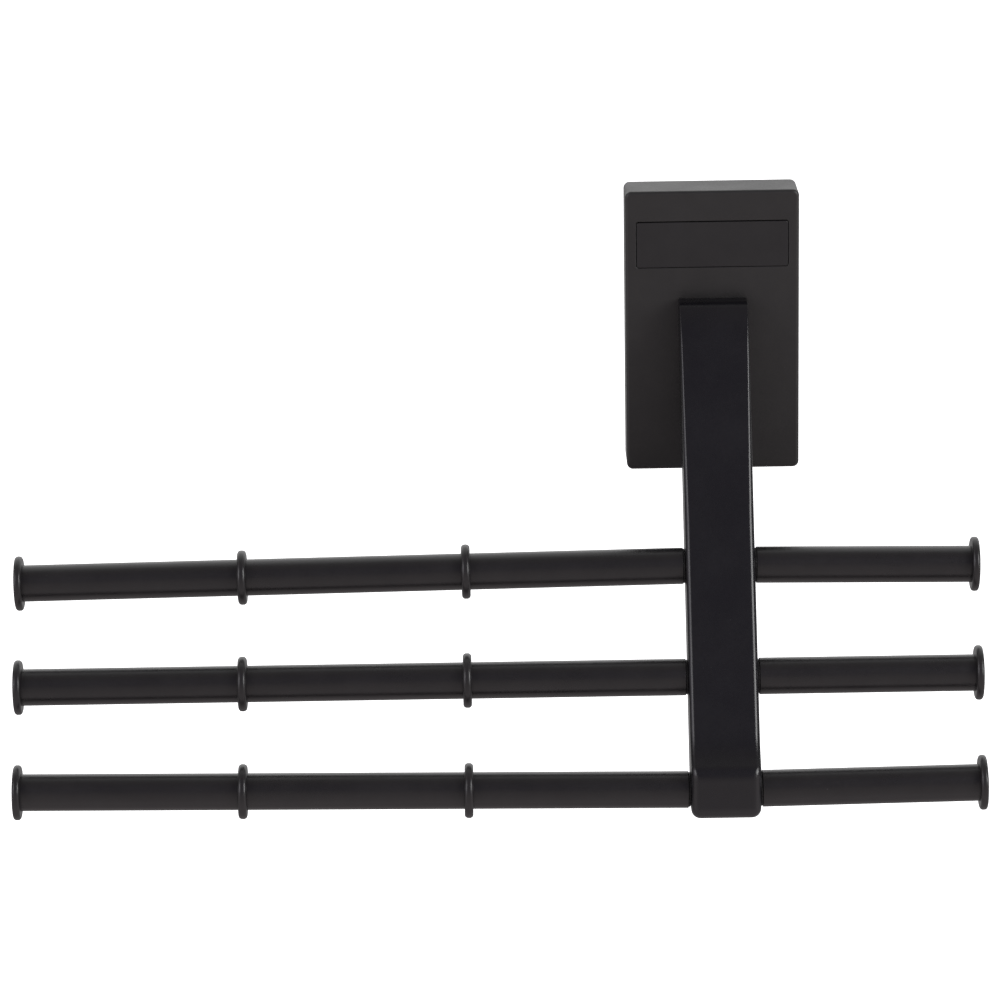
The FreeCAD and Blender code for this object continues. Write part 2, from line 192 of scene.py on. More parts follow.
# ---------------------------------------------------------------- mesh building
def finish_mesh(name, build, node, material, body=RACK):
    """Turns a bmesh into a shown piece that stands for a CAD node and rides on a body."""
    bmesh.ops.remove_doubles(build, verts=build.verts, dist=SAME_POINT)
    bmesh.ops.recalc_face_normals(build, faces=build.faces)
    mesh = bpy.data.meshes.new(name)
    build.to_mesh(mesh)
    build.free()
    mesh.shade_smooth()
    mesh.set_sharp_from_angle(angle=SHARP_ANGLE)
    mesh.materials.append(material)
    piece = bpy.data.objects.new(name, mesh)
    bpy.context.scene.collection.objects.link(piece)
    even = piece.modifiers.new("even_normals", "WEIGHTED_NORMAL")
    even.keep_sharp = True
    even.weight = EVEN_WEIGHT
    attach(piece, body)
    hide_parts(node)
    return piece


def add_loop(build, points):
    return [build.verts.new(point) for point in points]


def bridge(build, first, second):
    """Quads between two closed loops with the same number of points."""
    count = len(first)
    for i in range(count):
        after = (i + 1) % count
        build.faces.new((first[i], first[after], second[after], second[i]))


def fill_between(build, outer, holes=()):
    """A flat face inside the outer loop, left open inside each hole."""
    edges = []
    for loop in (outer, *holes):
        for i, vert in enumerate(loop):
            after = loop[(i + 1) % len(loop)]
            edges.append(build.edges.get((vert, after)) or build.edges.new((vert, after)))
    bmesh.ops.triangle_fill(build, edges=edges, use_beauty=True, use_dissolve=False)


def rounded_rectangle(width, height, radius, x=0.0, z=0.0, steps=CORNER_STEPS):
    """Points of a rounded rectangle, as pairs, anticlockwise from the lower right corner."""
    points = []
    half_x = width / 2 - radius
    half_z = height / 2 - radius
    for quarter, (a, b) in enumerate(((1, -1), (1, 1), (-1, 1), (-1, -1))):
        for step in range(steps + 1):
            angle = math.radians(-90 + 90 * quarter + 90 * step / steps)
            points.append((
                x + a * half_x + radius * math.cos(angle),
                z + b * half_z + radius * math.sin(angle),
            ))
    return points


def circle(radius, x=0.0, z=0.0, steps=32):
    turns = [2 * math.pi * i / steps for i in range(steps)]
    return [(x + radius * math.cos(turn), z + radius * math.sin(turn)) for turn in turns]


def at_depth(points, y):
    return [(x, y, z) for x, z in points]


def edge_steps(radius, steps=5):
    """Inset and rise of a quarter-round edge, from the side wall to the face."""
    angles = [math.radians(90 * step / steps) for step in range(steps + 1)]
    return [(radius * (1 - math.cos(angle)), radius * math.sin(angle)) for angle in angles]


def lathe(section, peg, along=0.0, steps=ROUND_STEPS):
    """Turns a closed section of (distance out, radius) pairs round the peg's line."""
    build = bmesh.new()
    rings = []
    for out, radius in section:
        if radius == 0:
            rings.append([build.verts.new((along + out, 0, 0))])
            continue
        turns = [2 * math.pi * i / steps for i in range(steps)]
        rings.append([
            build.verts.new((along + out, radius * math.cos(turn), radius * math.sin(turn)))
            for turn in turns
        ])
    for i, ring in enumerate(rings):
        after = rings[(i + 1) % len(rings)]
        if len(ring) == len(after) == 1:
            continue
        if len(ring) == 1 or len(after) == 1:
            tip, loop = (ring[0], after) if len(ring) == 1 else (after[0], ring)
            for k in range(steps):
                build.faces.new((tip, loop[k], loop[(k + 1) % steps]))
            continue
        bridge(build, ring, after)
    bmesh.ops.transform(build, matrix=peg.matrix, verts=build.verts)
    return build


# ---------------------------------------------------------------- materials
# the colour sockets of a mix node, whose names are the same as those of its number sockets
MIX_FIRST = 6
MIX_SECOND = 7
MIX_RESULT = 2


class Nodes:
    """A small helper that adds and links shader nodes of one material."""

    def __init__(self, name):
        self.material = bpy.data.materials.new(name)
        self.material.use_nodes = True
        self.tree = self.material.node_tree
        self.shader = self.tree.nodes["Principled BSDF"]
        self.place = self.add("ShaderNodeTexCoord").outputs["Object"]

    def add(self, kind, **values):
        node = self.tree.nodes.new(kind)
        for name, value in values.items():
            setattr(node, name, value)
        return node

    def link(self, start, end):
        self.tree.links.new(start, end)

    def noise(self, grain, detail=2.0, roughness=0.5):
        """Noise with features about this many metres across."""
        node = self.add("ShaderNodeTexNoise")
        node.inputs["Scale"].default_value = 1 / grain
        node.inputs["Detail"].default_value = detail
        node.inputs["Roughness"].default_value = roughness
        self.link(self.place, node.inputs["Vector"])
        return node.outputs["Fac"]

    def stretch(self, value, low, high, new_low, new_high, smooth=False):
        """The value moved from one range into another, and held inside it."""
        node = self.add("ShaderNodeMapRange")
        node.interpolation_type = "SMOOTHSTEP" if smooth else "LINEAR"
        node.clamp = True
        limits = {"From Min": low, "From Max": high, "To Min": new_low, "To Max": new_high}
        for name, number in limits.items():
            node.inputs[name].default_value = number
        self.link(value, node.inputs["Value"])
        return node.outputs["Result"]

    def blend(self, amount, first, second):
        """A colour between two, which are colours or sockets."""
        node = self.add("ShaderNodeMix", data_type="RGBA")
        self.link(amount, node.inputs["Factor"])
        for socket, colour in ((node.inputs[MIX_FIRST], first), (node.inputs[MIX_SECOND], second)):
            if isinstance(colour, tuple):
                socket.default_value = (*colour, 1.0)
            else:
                self.link(colour, socket)
        return node.outputs[MIX_RESULT]

    def sums(self, operation, first, second):
        """A sum, product or comparison of two numbers or sockets."""
        node = self.add("ShaderNodeMath", operation=operation)
        for socket, value in ((node.inputs[0], first), (node.inputs[1], second)):
            if isinstance(value, (int, float)):
                socket.default_value = value
            else:
                self.link(value, socket)
        return node.outputs[0]

    def bump(self, height, depth, before=None):
        """Relief of this depth in metres, on top of an earlier bump."""
        node = self.add("ShaderNodeBump")
        node.inputs["Distance"].default_value = depth
        self.link(height, node.inputs["Height"])
        if before:
            self.link(before, node.inputs["Normal"])
        return node.outputs["Normal"]

    def specks(self, spacing, radius, share):
        """1 on scattered round specks: one to a cell at most, in this share of the cells."""
        cells = self.add("ShaderNodeTexVoronoi")
        cells.inputs["Scale"].default_value = 1 / spacing
        self.link(self.place, cells.inputs["Vector"])
        edge = radius / spacing
        near = self.stretch(cells.outputs["Distance"], edge * 0.5, edge, 1.0, 0.0, smooth=True)
        chosen = self.add("ShaderNodeSeparateColor")
        self.link(cells.outputs["Color"], chosen.inputs["Color"])
        kept = self.sums("LESS_THAN", chosen.outputs["Red"], share)
        return self.sums("MULTIPLY", near, kept)


def coat(name, dark, light, roughness, grain, peel, specular=0.5, dust=1.0):
    """A black coat or moulded plastic: mottled colour, uneven gloss, fine grain, orange peel and dust.

    Grain and peel are each a pair: how far across its features are, and how deep.
    """
    nodes = Nodes(name)
    mottle = nodes.stretch(nodes.noise(9 * MM, 4.0, 0.6), 0.35, 0.65, 0.0, 1.0)
    colour = nodes.blend(mottle, dark, light)
    specks = nodes.specks(7 * MM, 0.16 * MM, 0.3 * dust)
    fine = nodes.specks(2.6 * MM, 0.07 * MM, 0.35 * dust)
    dusty = nodes.sums("MULTIPLY", nodes.sums("MAXIMUM", specks, fine), 0.5)
    colour = nodes.blend(dusty, colour, DUST)
    nodes.link(colour, nodes.shader.inputs["Base Color"])

    smudge = nodes.stretch(nodes.noise(22 * MM, 3.0, 0.55), 0.3, 0.7, -0.035, 0.035)
    rub = nodes.stretch(nodes.noise(1.1 * MM, 2.0, 0.5), 0.3, 0.7, -0.02, 0.02)
    uneven = nodes.sums("ADD", nodes.sums("ADD", smudge, rub), roughness)
    uneven = nodes.sums("ADD", uneven, nodes.sums("MULTIPLY", dusty, 0.3))
    nodes.link(uneven, nodes.shader.inputs["Roughness"])

    peel_size, peel_depth = peel
    grain_size, grain_depth = grain
    relief = nodes.bump(nodes.noise(peel_size, 1.0, 0.4), peel_depth)
    relief = nodes.bump(nodes.noise(grain_size, 3.0, 0.6), grain_depth, relief)
    nodes.link(relief, nodes.shader.inputs["Normal"])
    nodes.shader.inputs["Specular IOR Level"].default_value = specular
    return nodes.material


def metal(name, dark, light, roughness, brush):
    """Plated or turned metal, with small stains and fine lines that the brush packs closer along one axis."""
    nodes = Nodes(name)
    stains = nodes.stretch(nodes.noise(5 * MM, 4.0, 0.6), 0.35, 0.7, 0.0, 1.0)
    nodes.link(nodes.blend(stains, dark, light), nodes.shader.inputs["Base Color"])
    scale = nodes.add("ShaderNodeMapping")
    scale.inputs["Scale"].default_value = brush
    nodes.link(nodes.place, scale.inputs["Vector"])
    lines = nodes.add("ShaderNodeTexNoise")
    lines.inputs["Scale"].default_value = 1 / (0.25 * MM)
    nodes.link(scale.outputs["Vector"], lines.inputs["Vector"])
    uneven = nodes.stretch(lines.outputs["Fac"], 0.3, 0.7, roughness - 0.08, roughness + 0.08)
    nodes.link(uneven, nodes.shader.inputs["Roughness"])
    nodes.link(nodes.bump(lines.outputs["Fac"], 0.01 * MM), nodes.shader.inputs["Normal"])
    nodes.shader.inputs["Metallic"].default_value = 1.0
    return nodes.material


DUST = (0.16, 0.16, 0.165)
MATERIALS = {
    "casing": coat(
        "casing_plastic", (0.0104, 0.0098, 0.0099), (0.0128, 0.0121, 0.0121), 0.44,
        grain=(0.34 * MM, 0.035 * MM), peel=(1.6 * MM, 0.02 * MM),
    ),
    "cover": coat(
        "cover_plastic", (0.0080, 0.0075, 0.0082), (0.0100, 0.0094, 0.0101), 0.42,
        grain=(0.34 * MM, 0.03 * MM), peel=(1.6 * MM, 0.015 * MM), specular=0.46, dust=0.8,
    ),
    "arm": coat(
        "arm_coat", (0.0036, 0.0033, 0.0048), (0.0049, 0.0045, 0.0062), 0.28,
        grain=(0.5 * MM, 0.006 * MM), peel=(3.0 * MM, 0.03 * MM),
    ),
    "tube": coat(
        "tube_coat", (0.0084, 0.0076, 0.0083), (0.0108, 0.0098, 0.0105), 0.31,
        grain=(0.3 * MM, 0.02 * MM), peel=(1.4 * MM, 0.02 * MM),
    ),
    "trim": coat(
        "trim_plastic", (0.0105, 0.0097, 0.0103), (0.0132, 0.0122, 0.0128), 0.33,
        grain=(0.4 * MM, 0.012 * MM), peel=(1.8 * MM, 0.012 * MM), dust=0.7,
    ),
    # the collar is painted lighter than the tubes: painted light that lifts the shade in the narrow gap
    # between the tube's end and the arm
    "collar": coat(
        "collar_rubber", (0.018, 0.0175, 0.018), (0.023, 0.0222, 0.0226), 0.55,
        grain=(0.25 * MM, 0.02 * MM), peel=(1.0 * MM, 0.01 * MM), dust=0.4,
    ),
    "steel": metal("zinc_plated_steel", (0.42, 0.43, 0.44), (0.60, 0.60, 0.60), 0.34, (1.0, 1.0, 14.0)),
    "brass": metal("turned_brass", (0.50, 0.38, 0.17), (0.68, 0.53, 0.27), 0.30, (14.0, 1.0, 1.0)),
}


# ---------------------------------------------------------------- casing, cover and screws
def make_casing():
    """The casing with its rounded edges, cover recess, window, tenon slot, hollow and screw bosses."""
    low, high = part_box("casing")
    width, _, height = high - low
    front = low.y
    inner_front = front + CASING_FRONT
    build = bmesh.new()

    def wall_loop(inset, y, radius=CASING_CORNER):
        return add_loop(build, at_depth(
            rounded_rectangle(width - 2 * inset, height - 2 * inset, max(radius - inset, LEAST_RADIUS)), y
        ))

    loops = [wall_loop(inset, -BACK_EDGE + rise) for inset, rise in reversed(edge_steps(BACK_EDGE, 3))]
    loops += [wall_loop(0.0, front * share) for share in (0.25, 0.5, 0.75)]
    loops += [wall_loop(inset, front + CASING_EDGE - rise) for inset, rise in edge_steps(CASING_EDGE)]
    inner = [wall_loop(CASING_WALL, y, INNER_CORNER) for y in (inner_front, 0.0)]
    for first, second in zip(loops, loops[1:]):
        bridge(build, first, second)
    bridge(build, *inner)
    bridge(build, loops[0], inner[1])

    cover_low, cover_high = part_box("screw_cover")
    level = (cover_low.z + cover_high.z) / 2
    recess_width = cover_high.x - cover_low.x + 2 * COVER_SLIT
    recess_height = cover_high.z - cover_low.z + 2 * COVER_SLIT

    def recess_loop(grow, y):
        radius = COVER_CORNER + COVER_SLIT + grow
        points = rounded_rectangle(
            recess_width + 2 * grow, recess_height + 2 * grow, radius, z=level + COVER_SAG
        )
        return add_loop(build, at_depth(points, y))

    recess = [recess_loop(inset, front + RECESS_LIP - rise) for inset, rise in edge_steps(RECESS_LIP, 3)]
    recess.insert(0, recess_loop(0.0, front + COVER_THICK))
    for first, second in zip(recess, recess[1:]):
        bridge(build, first, second)

    def straight_hole(points, start, end):
        hole = [add_loop(build, at_depth(points, y)) for y in (start, end)]
        bridge(build, *hole)
        return hole

    window_points = rounded_rectangle(WINDOW_WIDTH, WINDOW_HEIGHT, WINDOW_CORNER, z=level)
    window = straight_hole(window_points, front + COVER_THICK, inner_front)
    slot_points = rounded_rectangle(
        TENON_WIDTH + 2 * TENON_GAP, TENON_HEIGHT + 2 * TENON_GAP, SLOT_CORNER, z=TENON_LEVEL
    )
    slot = straight_hole(slot_points, front, inner_front)

    plate_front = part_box("wall_plate")[0].y
    bosses = []
    for x, z in screw_spots():
        boss = straight_hole(circle(BOSS_RADIUS, x, z), inner_front, plate_front)
        pilot = straight_hole(circle(PILOT_RADIUS, x, z), plate_front, plate_front - PILOT_DEPTH)
        fill_between(build, boss[1], [pilot[0]])
        build.faces.new(pilot[1])
        bosses.append(boss[0])
    fill_between(build, loops[-1], [recess[-1], slot[0]])
    fill_between(build, recess[0], [window[0]])
    fill_between(build, inner[0], [window[1], slot[1], *bosses])
    finish_mesh("casing_shell", build, "casing", MATERIALS["casing"])


def screw_spots():
    """Centres of the four casing screws, as pairs of X and Z."""
    low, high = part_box("casing_screws")
    across = (low.x + SMALL_HEAD, high.x - SMALL_HEAD)
    levels = (low.z + SMALL_HEAD, high.z - SMALL_HEAD)
    return [(x, z) for x in across for z in levels]


def make_cover():
    """The flush panel with its four legs."""
    low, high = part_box("screw_cover")
    front = low.y
    back = front + COVER_THICK
    level = (low.z + high.z) / 2
    width = high.x - low.x
    height = high.z - low.z
    build = bmesh.new()

    def panel_loop(inset, y):
        radius = max(COVER_CORNER - inset, LEAST_RADIUS)
        return add_loop(build, at_depth(
            rounded_rectangle(width - 2 * inset, height - 2 * inset, radius, z=level), y
        ))

    loops = [panel_loop(0.0, back)]
    loops += [panel_loop(inset, front + COVER_EDGE - rise) for inset, rise in edge_steps(COVER_EDGE, 4)]
    for first, second in zip(loops, loops[1:]):
        bridge(build, first, second)
    build.faces.new(loops[-1])
    feet = []
    for a in (-1, 1):
        for b in (-1, 1):
            z = level + b * (WINDOW_HEIGHT / 2 - LEG_GAP - LEG_THICK / 2)
            points = rounded_rectangle(LEG_WIDTH, LEG_THICK, LEG_CORNER, x=a * LEG_INSET, z=z, steps=3)
            foot, tip = (add_loop(build, at_depth(points, y)) for y in (back, high.y))
            bridge(build, foot, tip)
            build.faces.new(tip)
            feet.append(foot)
    fill_between(build, loops[0], feet)
    finish_mesh("screw_cover_panel", build, "screw_cover", MATERIALS["cover"], COVER)


def make_screws(node, spots, head, shank):
    """Low-headed screws with a hexagon socket, heads towards the wall."""
    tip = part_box(node)[0].y
    build = bmesh.new()
    corner = head * SOCKET_SHARE
    turns = [math.radians(60 * k + 30) for k in range(6)]
    for x, z in spots:
        hexagon = [(x + corner * math.cos(turn), z + corner * math.sin(turn)) for turn in turns]
        top = [
            add_loop(build, at_depth(circle(head - inset, x, z), -HEAD_EDGE + rise))
            for inset, rise in edge_steps(HEAD_EDGE, 4)
        ]
        under = add_loop(build, at_depth(circle(head, x, z), -HEAD_HEIGHT))
        neck = add_loop(build, at_depth(circle(shank, x, z), -HEAD_HEIGHT))
        body_end = add_loop(build, at_depth(circle(shank, x, z), tip + POINT_CHAMFER))
        point = add_loop(build, at_depth(circle(shank - POINT_CHAMFER, x, z), tip))
        bridge(build, under, top[0])
        for first, second in zip(top, top[1:]):
            bridge(build, first, second)
        bridge(build, under, neck)
        bridge(build, neck, body_end)
        bridge(build, body_end, point)
        build.faces.new(point)
        socket = [add_loop(build, at_depth(hexagon, y)) for y in (0.0, -HEAD_HEIGHT * SOCKET_DEPTH)]
        bridge(build, *socket)
        build.faces.new(socket[1])
        fill_between(build, top[-1], [socket[0]])
    finish_mesh(f"{node}_socket", build, node, MATERIALS["steel"])


# ---------------------------------------------------------------- arm
def arm_corners():
    """The corners of the arm's side outline before they are rounded, as pairs in the YZ plane."""
    top = PEGS["top", "right"].start
    nose = PEGS["bottom", "right"].start
    low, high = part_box("arm")
    root_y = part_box("casing")[0].y
    lean = math.atan2(top.y - nose.y, top.z - nose.z)
    outward = Vector((-math.cos(lean), math.sin(lean)))
    down = Vector((-math.sin(lean), -math.cos(lean)))
    back_line = Vector((top.y, top.z)) - outward * ARM_BACK
    start = Vector((root_y - ROOT_RUN, high.z))
    root_out = (start - Vector((top.y, top.z))).dot(outward)
    root_fall = (ARM_FRONT - root_out) / math.sin(ROOT_LEAN - lean)
    brow = Vector((low.y, nose.z + NOSE_RISE))
    brow_out = (brow - Vector((nose.y, nose.z))).dot(outward)
    neck_run = (brow_out - ARM_FRONT) / math.sin(NOSE_LEAN - lean)
    heel_y = nose.y + NOSE_BACK
    heel_run = (heel_y - back_line.x) / down.x
    foot_run = (root_y - back_line.x) / down.x
    return {
        "root": Vector((root_y, high.z)),
        "root_corner": start,
        "sweep": start - Vector((math.sin(ROOT_LEAN), math.cos(ROOT_LEAN))) * root_fall,
        "neck": brow + Vector((math.sin(NOSE_LEAN), math.cos(NOSE_LEAN))) * neck_run,
        "brow": brow,
        "toe": Vector((low.y, low.z)),
        "heel": Vector((heel_y, low.z)),
        "back_neck": back_line + down * heel_run,
        "foot": back_line + down * foot_run,
    }


def arm_outline():
    """The arm's side outline, from the top of its root, round the nose, to its underside.

    Each item is a point, the inward normal there, and the radius of the edge beside it, all in the YZ plane.
    """
    edges = {
        "root": ROOT_EDGE, "root_corner": ROOT_EDGE, "sweep": SWEEP_EDGE, "neck": ARM_EDGE, "brow": NOSE_EDGE,
        "toe": NOSE_EDGE, "heel": NOSE_EDGE, "back_neck": ARM_EDGE, "foot": ARM_EDGE,
    }
    corners = arm_corners()
    names = list(corners)
    places = list(corners.values())
    first = (places[1] - places[0]).normalized()
    outline = [(places[0], Vector((-first.y, first.x)), edges["root"])]

    def run_to(place, normal, edge):
        """Adds a straight run, whose edge reaches its new radius early on."""
        last_place, _, last_edge = outline[-1]
        pieces = max(1, round((place - last_place).length / RUN_STEP))
        for step in range(1, pieces + 1):
            share = step / pieces
            grown = last_edge + (edge - last_edge) * min(1.0, share / WIDENING)
            outline.append((last_place.lerp(place, share), normal, grown))

    for i in range(1, len(names) - 1):
        before = (places[i] - places[i - 1]).normalized()
        after = (places[i + 1] - places[i]).normalized()
        turn = -before.angle_signed(after)
        radius = math.copysign(ARM_CORNERS[names[i]], turn)
        inward = Vector((-before.y, before.x))
        start = places[i] - before * radius * math.tan(turn / 2)
        centre = start + inward * radius
        # the bar below the sweep has the full edge
        old_edge = ARM_EDGE if names[i - 1] == "sweep" else edges[names[i - 1]]
        run_to(start, inward, old_edge)
        steps = max(LEAST_CORNER_STEPS, round(abs(math.degrees(turn)) / DEGREES_PER_STEP))
        for step in range(1, steps + 1):
            share = step / steps
            normal = inward.copy()
            normal.rotate(Matrix.Rotation(turn * share, 2))
            smooth = share * share * (3 - 2 * share)
            edge = old_edge + (edges[names[i]] - old_edge) * smooth
            outline.append((centre - normal * radius, normal, edge))
    run_to(places[-1], outline[-1][1], edges["foot"])
    return outline


def make_arm():
    """The bar, as rows of points that follow its outline, and the tenon behind its root."""
    low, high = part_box("arm")
    half = (high.x - low.x) / 2
    root_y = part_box("casing")[0].y
    tenon_end = high.y
    outline = arm_outline()
    build = bmesh.new()
    turns = [math.radians(90 * step / ARM_EDGE_STEPS) for step in range(ARM_EDGE_STEPS + 1)]
    rows = []

    def add_row(side, turn):
        """One row of points along the arm: turn 0 is where the side face begins and 90 degrees the front."""
        row = []
        for point, inward, edge in outline:
            inset = edge * (1 - math.sin(turn))
            y, z = point + inward * inset
            row.append(build.verts.new((side * (half - edge * (1 - math.cos(turn))), min(y, root_y), z)))
        rows.append(row)

    for turn in turns:
        add_row(-1, turn)
    for step in range(1, ARM_FACE_STEPS):
        across = -1 + 2 * step / ARM_FACE_STEPS
        rows.append([
            build.verts.new((across * (half - edge), point.x, point.y)) for point, _, edge in outline
        ])
    for turn in reversed(turns):
        add_row(1, turn)
    for first, second in zip(rows, rows[1:]):
        for i in range(len(first) - 1):
            build.faces.new((first[i], first[i + 1], second[i + 1], second[i]))
    build.faces.new(rows[0])
    build.faces.new(rows[-1])
    root = [row[0] for row in rows] + [row[-1] for row in reversed(rows)]
    points = rounded_rectangle(TENON_WIDTH, TENON_HEIGHT, TENON_CORNER, z=TENON_LEVEL, steps=3)
    tenon = [add_loop(build, at_depth(points, y)) for y in (root_y, tenon_end)]
    bridge(build, *tenon)
    build.faces.new(tenon[1])
    fill_between(build, root, [tenon[0]])
    finish_mesh("arm_bar", build, "arm", MATERIALS["arm"])


# ---------------------------------------------------------------- pegs
def make_tube(peg):
    inner = TUBE_RADIUS - TUBE_WALL
    start = COLLAR_THICK / 2
    end = tube_end(peg)
    piece = (end - start) / TUBE_PIECES
    rounding = reversed(edge_steps(FINE_EDGE, 4))
    section = [(start, inner)]
    section += [(start + FINE_EDGE - rise, TUBE_RADIUS - inset) for inset, rise in rounding]
    section += [(start + piece * step, TUBE_RADIUS) for step in range(1, TUBE_PIECES)]
    section += [(end, TUBE_RADIUS), (end, inner)]
    node = f"{peg.name}_tube"
    finish_mesh(f"{node}_coated", lathe(section, peg), node, MATERIALS["tube"])


def tube_end(peg):
    """Distance from the collar's centre to the tube's outer end, along the peg."""
    tube_middle = peg.along(f"{peg.name}_tube")
    return 2 * tube_middle - COLLAR_THICK / 2


def make_collar(peg):
    edge = COLLAR_EDGE
    half = COLLAR_THICK / 2
    section = [(-half, COLLAR_HOLE)]
    section += [(-half + edge - rise, COLLAR_RADIUS - inset) for inset, rise in reversed(edge_steps(edge, 3))]
    section += [(half - edge + rise, COLLAR_RADIUS - inset) for inset, rise in edge_steps(edge, 3)]
    section += [(half, COLLAR_HOLE)]
    node = f"{peg.name}_collar"
    finish_mesh(f"{node}_ring", lathe(section, peg), node, MATERIALS["collar"])


def make_divider(peg, node):
    half = DIVIDER_THICK / 2
    inner = TUBE_RADIUS + FIT
    rim = DIVIDER_RIM
    edge = FINE_EDGE
    section = [(-half + edge - rise, inner + inset) for inset, rise in edge_steps(edge, 3)]
    section += [(-half + rim - rise, DIVIDER_RADIUS - inset) for inset, rise in reversed(edge_steps(rim, 8))]
    section += [(half - rim + rise, DIVIDER_RADIUS - inset) for inset, rise in edge_steps(rim, 8)]
    section += [(half - edge + rise, inner + inset) for inset, rise in reversed(edge_steps(edge, 3))]
    build = lathe(section, peg, peg.along(node))
    finish_mesh(f"{node}_ring", build, node, MATERIALS["trim"])


def make_end_cap(peg):
    """Spigot, flange with a rounded rim, and a slightly domed outer face."""
    node = f"{peg.name}_end_cap"
    seat = tube_end(peg)
    outer = peg.along(node) + CAP_LENGTH / 2
    spigot_end = outer - CAP_LENGTH
    spigot = TUBE_RADIUS - TUBE_WALL - FIT
    face = outer - CAP_DOME
    rim = CAP_RIM
    section = [
        (spigot_end, 0.0),
        (spigot_end, spigot - CAP_STEP),
        (spigot_end + CAP_STEP, spigot),
        (seat, spigot),
        (seat, TUBE_RADIUS + CAP_STEP),
    ]
    section += [(seat + rim - rise, CAP_RADIUS - inset) for inset, rise in reversed(edge_steps(rim, 6))]
    section += [(face - rim + rise, CAP_RADIUS - inset) for inset, rise in edge_steps(rim, 6)]
    flat = CAP_RADIUS - rim
    for step in range(1, DOME_PIECES + 1):
        share = step / DOME_PIECES
        section.append((face + CAP_DOME * (1 - (1 - share) ** 2), flat * (1 - share)))
    finish_mesh(f"{node}_flange", lathe(section, peg), node, MATERIALS["trim"])


make_casing()
make_cover()
make_screws("casing_screws", screw_spots(), SMALL_HEAD, SMALL_SHANK)
ARM_SCREW_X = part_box("arm_screws")[1].x - ARM_HEAD
make_screws("arm_screws", [(-ARM_SCREW_X, TENON_LEVEL), (ARM_SCREW_X, TENON_LEVEL)], ARM_HEAD, ARM_SHANK)
make_arm()
for rack_peg in PEGS.values():
    make_tube(rack_peg)
    make_collar(rack_peg)
    make_end_cap(rack_peg)
    if rack_peg.side == "left":
        make_divider(rack_peg, f"{rack_peg.tier}_inner_divider")
        make_divider(rack_peg, f"{rack_peg.tier}_outer_divider")

# what stays as the frame has it gets its material in one new slot, in place of the slots that it came with
kept_nodes = {"wall_plate": "steel"}
kept_nodes.update({f"{tier}_studs": "steel" for tier in TIERS})
kept_nodes.update({f"{tier}_{side}_plug": "brass" for tier in TIERS for side in SIDES})
for kept, kind in kept_nodes.items():
    kept_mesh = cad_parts[kept].data
    kept_mesh.materials.clear()
    kept_mesh.materials.append(MATERIALS[kind])


# ---------------------------------------------------------------- stage, light and camera
FLOOR_LEVEL = -0.42
FLOOR_REACH = 14.0
LIT_PLACE = (-0.05, -0.05, -0.05)


def make_floor():
    """A pale floor far below, which the camera alone sees; the light from below is in the surroundings."""
    build = bmesh.new()
    signs = ((-1, -1), (1, -1), (1, 1), (-1, 1))
    corners = [(a * FLOOR_REACH, b * FLOOR_REACH, FLOOR_LEVEL) for a, b in signs]
    build.faces.new(add_loop(build, corners))
    mesh = bpy.data.meshes.new("floor")
    build.to_mesh(mesh)
    build.free()
    floor = bpy.data.objects.new("floor", mesh)
    bpy.context.scene.collection.objects.link(floor)
    material = bpy.data.materials.new("pale_floor")
    material.use_nodes = True
    shader = material.node_tree.nodes["Principled BSDF"]
    shader.inputs["Base Color"].default_value = (0.8, 0.8, 0.8, 1.0)
    shader.inputs["Roughness"].default_value = 0.9
    shader.inputs["Emission Color"].default_value = (1.0, 1.0, 1.0, 1.0)
    shader.inputs["Emission Strength"].default_value = 1.0
    mesh.materials.append(material)
    floor.visible_diffuse = False
    floor.visible_glossy = False
    floor.visible_shadow = False


def soft_box(name, place, width, height, radiance):
    """A lamp turned to the rack, as bright per square metre as a surface of this radiance."""
    light = bpy.data.lights.new(name, "AREA")
    light.shape = "RECTANGLE"
    light.size = width
    light.size_y = height
    light.energy = radiance * math.pi * width * height
    lamp = bpy.data.objects.new(name, light)
    lamp.location = place
    lamp.rotation_euler = (Vector(LIT_PLACE) - Vector(place)).to_track_quat("-Z", "Y").to_euler()
    lamp.visible_camera = False
    bpy.context.scene.collection.objects.link(lamp)


# how bright the studio is round the rack's X axis: degrees up from straight in front, over the top to behind
STUDIO = (
    (-180, 0.74), (-150, 0.27), (-120, 0.40), (-90, 0.46), (-60, 0.68), (-30, 0.58), (0, 0.46),
    (22, 0.24), (55, 0.21), (75, 0.26), (95, 0.32), (115, 1.00), (137, 1.12), (158, 1.42), (180, 0.74),
)
# its tint at the same angles: the walls in front are warm and the ceiling in front is cool
PLAIN = (1.00, 1.00, 1.00)
WARM = (1.05, 0.96, 0.98)
COOL = (1.00, 0.94, 1.12)
TINTS = (
    (-180, PLAIN), (-100, WARM), (5, WARM), (25, COOL), (55, COOL), (75, WARM), (100, PLAIN), (180, PLAIN),
)
# brightness of the side walls: in front below, in front above, behind below and behind above
LEFT_WALL = (0.70, 1.20, 0.30, 0.05)
RIGHT_WALL = (0.75, 0.10, 0.40, 0.20)


